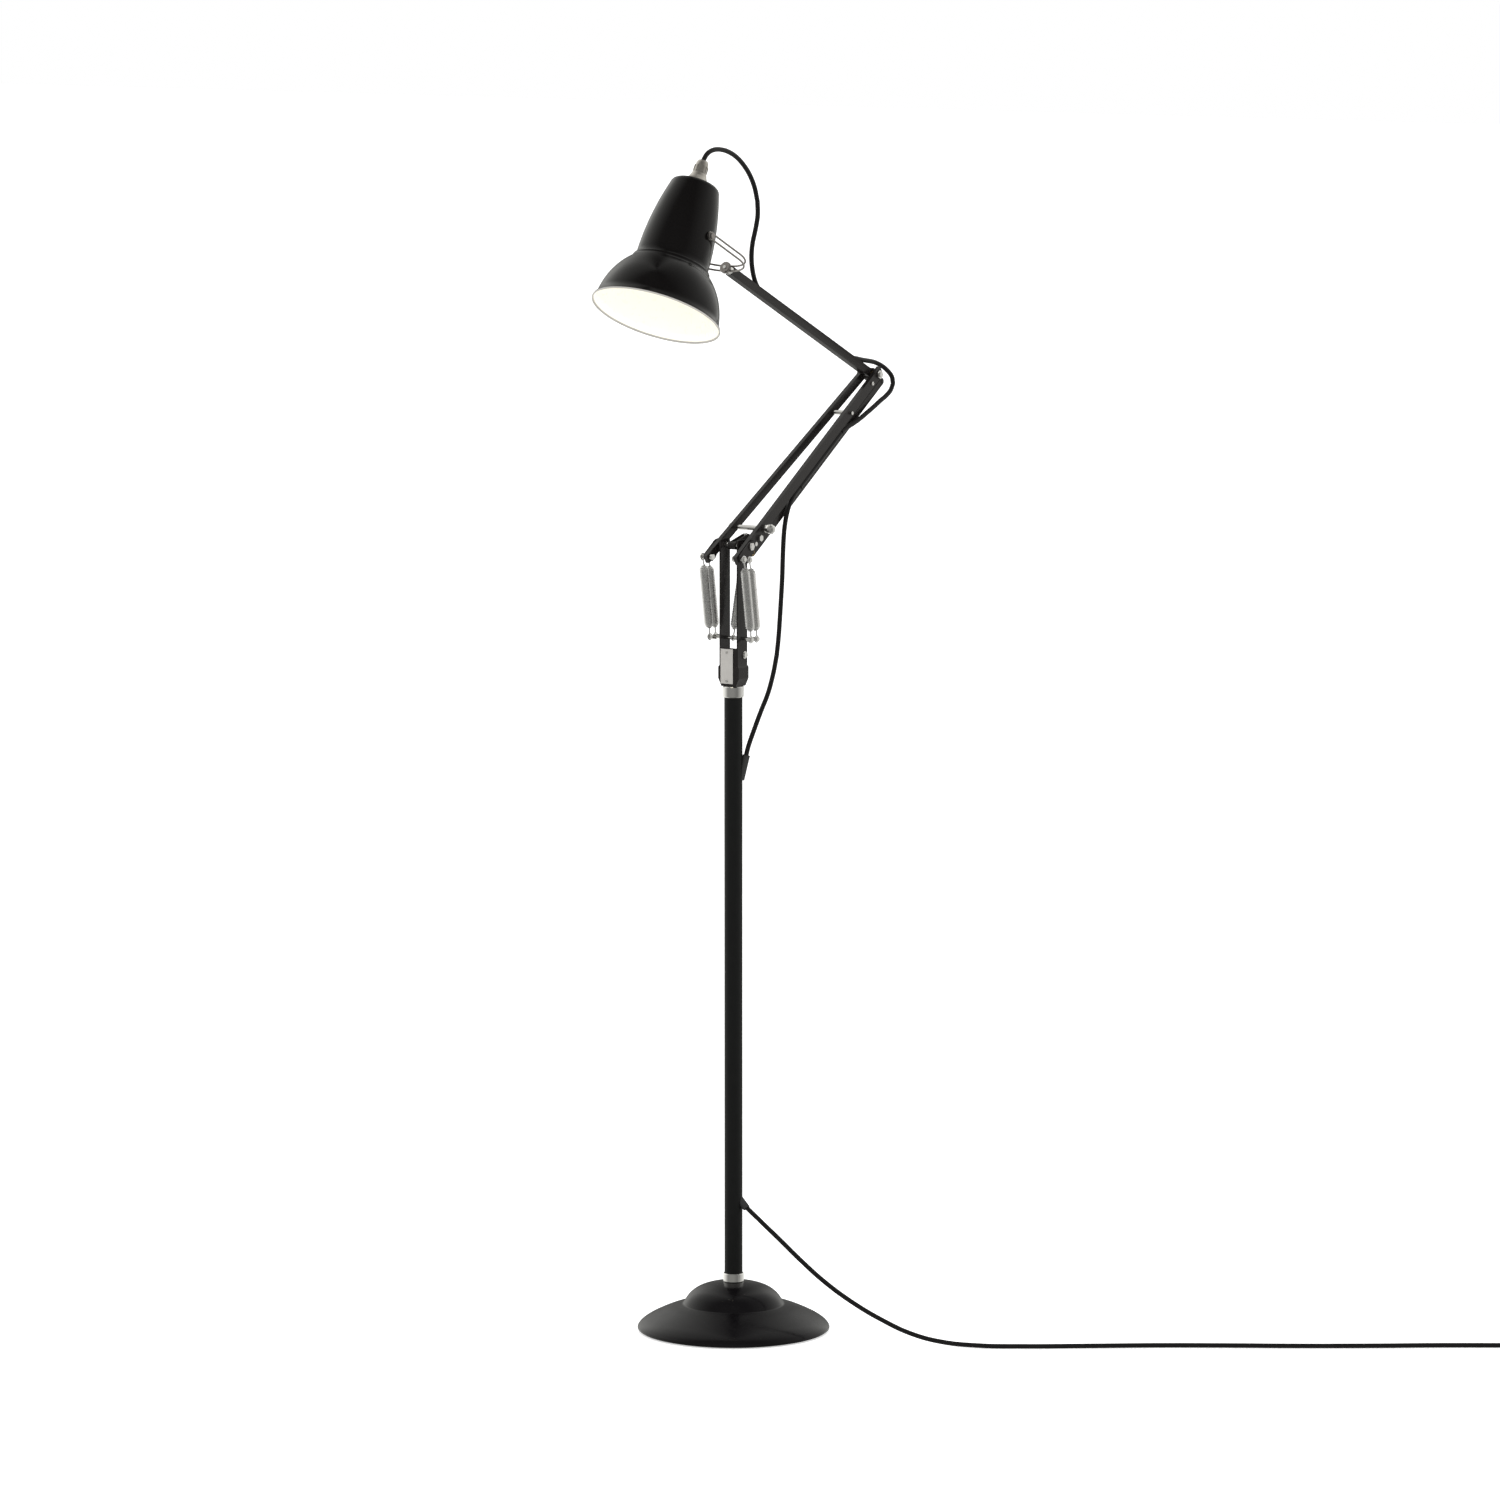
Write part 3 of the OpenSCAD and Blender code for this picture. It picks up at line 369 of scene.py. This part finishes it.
def piece(name, bm, material):
    """A new smooth object from bm, which it frees. material is one material or a list."""
    mesh = bpy.data.meshes.new(name)
    bmesh.ops.recalc_face_normals(bm, faces=bm.faces)
    bm.to_mesh(mesh)
    bm.free()
    for m in material if isinstance(material, list) else [material]:
        mesh.materials.append(m)
    obj = bpy.data.objects.new(name, mesh)
    bpy.context.scene.collection.objects.link(obj)
    smooth(mesh)
    return obj


def around(sides):
    """The angles of a circle's corners."""
    return [2 * math.pi * k / sides for k in range(sides)]


def sweep(bm, points, radius, sides):
    """A closed round tube along points, with frames carried from ring to ring."""
    tangents = []
    for i in range(len(points)):
        tangents.append((points[min(i + 1, len(points) - 1)] - points[max(i - 1, 0)]).normalized())
    side = tangents[0].orthogonal().normalized()
    rings = []
    for i, p in enumerate(points):
        side = (side - tangents[i] * side.dot(tangents[i])).normalized()
        up = tangents[i].cross(side)
        rings.append([bm.verts.new(p + radius * (math.cos(a) * side + math.sin(a) * up))
                      for a in around(sides)])
    for a, b in zip(rings, rings[1:]):
        for k in range(sides):
            bm.faces.new((a[k], a[(k + 1) % sides], b[(k + 1) % sides], b[k]))
    bm.faces.new(list(reversed(rings[0])))
    bm.faces.new(rings[-1])


def lathe(bm, profile, sides, bands=None):
    """Turns a closed loop of (radius, height) points about Z. bands gives each band's material index."""
    rings = []
    for r, z in profile:
        rings.append([bm.verts.new((r * math.cos(a), r * math.sin(a), z)) for a in around(sides)])
    for n, (a, b) in enumerate(zip(rings, rings[1:] + rings[:1])):
        for k in range(sides):
            j = (k + 1) % sides
            face = bm.faces.new((a[k], a[j], b[j], b[k]))
            if bands:
                face.material_index = bands[n]


def fine_profile(points, step=0.0015):
    """A smooth curve through (radius, height) points."""
    return [(p.x, p.z) for p in curve_through([(r, 0, z) for r, z in points], step)]


def dress(node, width, segments=2):
    """The CAD node's own mesh with its edges rounded, as a new piece in its place."""
    source = NODES[node]
    bm = bmesh.new()
    bm.from_mesh(source.data)
    bmesh.ops.remove_doubles(bm, verts=bm.verts, dist=1e-6)
    bmesh.ops.dissolve_limit(bm, angle_limit=math.radians(1), verts=bm.verts, edges=bm.edges)
    obj = piece(node + "_detailed", bm, BY_SLOT[SLOT_OF[node]])
    mod = obj.modifiers.new("edges", "BEVEL")
    mod.width = width
    mod.segments = segments
    mod.limit_method = "ANGLE"
    mod.angle_limit = math.radians(40)
    mod.harden_normals = True
    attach(obj, source["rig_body"])
    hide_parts(node)
    return obj


# ---------------------------------------------------------------- cords
def mm(points):
    return [Vector(p) * MM for p in points]


def cord_tube(name, points, node):
    """A smooth cord tube through points, in place of the CAD node."""
    path = curve_through(points)
    bm = bmesh.new()
    sweep(bm, path, CORD_R, 14)
    obj = piece(name, bm, CORD)
    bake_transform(obj)
    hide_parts(node)


def split_cord(name, route, at, node):
    """One cord as two tubes, split at the route's point at: the first runs up to it, the second on from it."""
    pts = mm(route)
    cord_tube(name + "_a", pts[:at + 1], node)
    cord_tube(name + "_b", pts[at:], node)


split_cord("head_cord", HEAD_ROUTE, 10, "head_cord")
split_cord("elbow_cord", ELBOW_ROUTE, 8, "elbow_cord")
split_cord("hanging_cord", HANGING_ROUTE, 11, "hanging_cord")


def lead_points():
    """The floor lead: from the pole along the floor, round the coil and out to the plug."""
    pts = [Vector(p) for p in LEAD_ROUTE]
    per_turn = 20
    cross_from = 0.6  # the part of a turn after which the cord crosses to its next lay
    cx, cy = COIL_CENTRE
    turns = len(COIL_LAYS)
    steps = int(per_turn * (turns + 0.25))
    for k in range(1, steps + 1):
        t = k / per_turn
        n = min(int(t), turns - 1)
        r, z = COIL_LAYS[n]
        after = COIL_LAYS[min(n + 1, turns - 1)]
        ease = max(0.0, (t - n) - cross_from) / (1 - cross_from) if n < turns - 1 else 0.0
        ease = ease * ease * (3 - 2 * ease)
        r, z = r + (after[0] - r) * ease, z + (after[1] - z) * ease
        angle = math.pi / 2 - 2 * math.pi * t
        pts.append(Vector((cx + r * math.cos(angle), cy + r * math.sin(angle), z)))
    pts += [Vector(p) for p in TAIL_ROUTE]
    return [ON_FLOOR @ (p * MM) for p in pts]


def make_floor_lead():
    path = lead_points()
    data = bpy.data.curves.new("floor_lead", "CURVE")
    data.dimensions = "3D"
    data.bevel_depth = CORD_R
    data.bevel_resolution = 5
    data.resolution_u = 6
    data.use_fill_caps = True
    spline = data.splines.new("BEZIER")
    spline.bezier_points.add(len(path) - 1)
    for b, p in zip(spline.bezier_points, path):
        b.co = p
        b.handle_left_type = b.handle_right_type = "AUTO"
    data.materials.append(CORD)
    lead = bpy.data.objects.new("floor_lead", data)
    bpy.context.scene.collection.objects.link(lead)
    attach(lead, "stand")
    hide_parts("floor_cord", "cord_coil", "cord_tail")
    plug = dress("plug_body", 0.0016, 3)


make_floor_lead()


# ---------------------------------------------------------------- springs
def spring_loop(place, axis, across, pin_r):
    """Wire round a pin and onto the spring's axis, which points into the spring."""
    loop_r = pin_r + 0.0003 + SPRING_WIRE_R
    turn = [place + loop_r * (math.sin(t) * across + math.cos(t) * axis)
            for t in around(28)[2:] + [2 * math.pi]]
    return turn + [place + axis * (loop_r + 0.0014)]


def spring(name, foot, top, y, radius, pins, node):
    """A close-wound tension spring: a loop on each pin, drawn-in ends and a tight helix between."""
    wire = SPRING_WIRE_R
    per_turn, drawn_turns = 18, 3.2
    a, b = Vector((foot[0], y, foot[1])), Vector((top[0], y, top[1]))
    side = Vector((0, 1, 0))
    span = (b - a).length
    axis = (b - a).normalized()
    across = side.cross(axis).normalized()
    begin, end = SPRING_STUB, span - SPRING_STUB
    turns = round((end - begin) / SPRING_PITCH)
    steps = turns * per_turn
    points = spring_loop(a, axis, across, pins[0])
    for k in range(steps + 1):
        t = k / steps
        draw = min(1, min(t, 1 - t) * turns / drawn_turns)
        r = wire + (radius - wire * 0.9 - wire) * math.sin(draw * math.pi / 2) ** 0.8
        phase = 2 * math.pi * turns * t
        spoke = math.cos(phase) * across + math.sin(phase) * side
        points.append(a + axis * (begin + (end - begin) * t) + r * spoke)
    points += reversed(spring_loop(b, -axis, -across, pins[1]))
    bm = bmesh.new()
    sweep(bm, points, wire, 7)
    obj = piece(name, bm, SPRING_STEEL)
    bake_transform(obj)
    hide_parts(node)


def make_springs():
    tail_front = PIVOT - TAIL_U * ALONG_LOWER
    tail_rear = PIVOT + TAIL_REAR
    for label, y in (("near", -SPRING_Y), ("far", SPRING_Y)):
        for place, dx, top in (("front", -CLIP_DX, tail_front), ("rear", CLIP_DX, tail_rear)):
            spring("spring_%s_%s" % (label, place), (dx, ANCHOR_Z), (top.x, top.z), y, SPRING_R,
                   (OUTER_PIN_R, OUTER_PIN_R), place + "_springs")
    tip = (LEVER_LEN * math.cos(LEVER_ANGLE), PIVOT.z + LEVER_LEN * math.sin(LEVER_ANGLE))
    spring("spring_middle", (0, ANCHOR_Z), tip, 0, MIDDLE_SPRING_R, (ANCHOR_ROD_R, LEVER_PIN_R),
           "middle_spring")


make_springs()


# ---------------------------------------------------------------- shade and base
def make_shade():
    """The spun shade as one skin: black outside, white inside and a pale rim."""
    lip = [(0.0731, 0.0), (0.0740, 0.0005), (0.0743, 0.0016), (0.0737, 0.0030), (0.0720, 0.0055)]
    bell = [(0.071 * math.cos(a), -0.002 + 0.078 * math.sin(a)) for a in
            (math.radians(d) for d in range(8, 51, 2))]
    bead = [(0.0446, 0.0600), (0.0447, 0.0606), (0.0445, 0.0615), (0.0436, 0.0628), (0.0424, 0.0634)]
    neck = [(0.0414 - 0.00155 * (s - 64) ** 2 * MM, s * MM) for s in range(66, 157, 3)]
    top = [(0.0279, 0.1576), (0.0269, 0.1594), (0.0252, 0.1607), (0.0222, 0.1615), (0.0080, 0.1615)]
    outer = lip + bell + bead + neck + top
    skin = 0.0012
    inner = [(0.0080, 0.1603), (0.0216, 0.1603), (0.0244, 0.1594), (0.0262, 0.1578)]
    inner += [(r - skin, z) for r, z in reversed(neck)] + [(0.0406, 0.0624)]
    inner += [(r - skin * 0.9, z - skin * 0.3) for r, z in reversed(bell)]
    inner += [(0.0709, 0.0050), (0.0722, 0.0022)]
    black, white, rim = 0, 1, 2
    bands = [rim, rim] + [black] * (len(outer) - 3) + [white] * len(inner) + [rim]
    bm = bmesh.new()
    lathe(bm, outer + inner, 192, bands)
    bmesh.ops.transform(bm, matrix=ON_SHADE, verts=bm.verts)
    obj = piece("shade_spun", bm, [SHADE_BLACK, ENAMEL_WHITE, RIM])
    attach(obj, "shade")
    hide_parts("shade")


def make_base():
    """The base cover: a rolled lip, a shallow flange and a dome, hollow beneath."""
    lip = [(0.1045, 0.0008), (0.1082, 0.0011), (0.1096, 0.0020), (0.1100, 0.0032), (0.1095, 0.0050)]
    flange = [(0.1095, 0.0050), (0.1060, 0.0090), (0.0980, 0.0145), (0.0860, 0.0205), (0.0740, 0.0255),
              (0.0630, 0.0290), (0.0580, 0.0305)]
    dome = [(0.0576, 0.0310), (0.0560, 0.0335), (0.0535, 0.0375), (0.0500, 0.0418), (0.0450, 0.0460),
            (0.0390, 0.0494), (0.0320, 0.0520), (0.0240, 0.0540), (0.0125, 0.0560), (0.0106, 0.0560)]
    inside = [(0.0106, 0.0530), (0.0370, 0.0465), (0.0510, 0.0345), (0.0620, 0.0260), (0.0860, 0.0170),
              (0.1020, 0.0075), (0.1045, 0.0034)]
    bm = bmesh.new()
    lathe(bm, fine_profile(lip) + fine_profile(flange)[1:] + fine_profile(dome) + inside, 200)
    obj = piece("base_spun", bm, BASE_BLACK)
    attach(obj, "stand")
    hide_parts("base_cover")


make_shade()
make_base()
for node, rounding in (("bracket", 0.0007), ("near_bar", 0.0007), ("far_bar", 0.0007), ("link_bar", 0.0004),
                       ("upper_arm", 0.0007), ("label_plate", 0.0004), ("tail_plates", 0.0004)):
    dress(node, rounding)
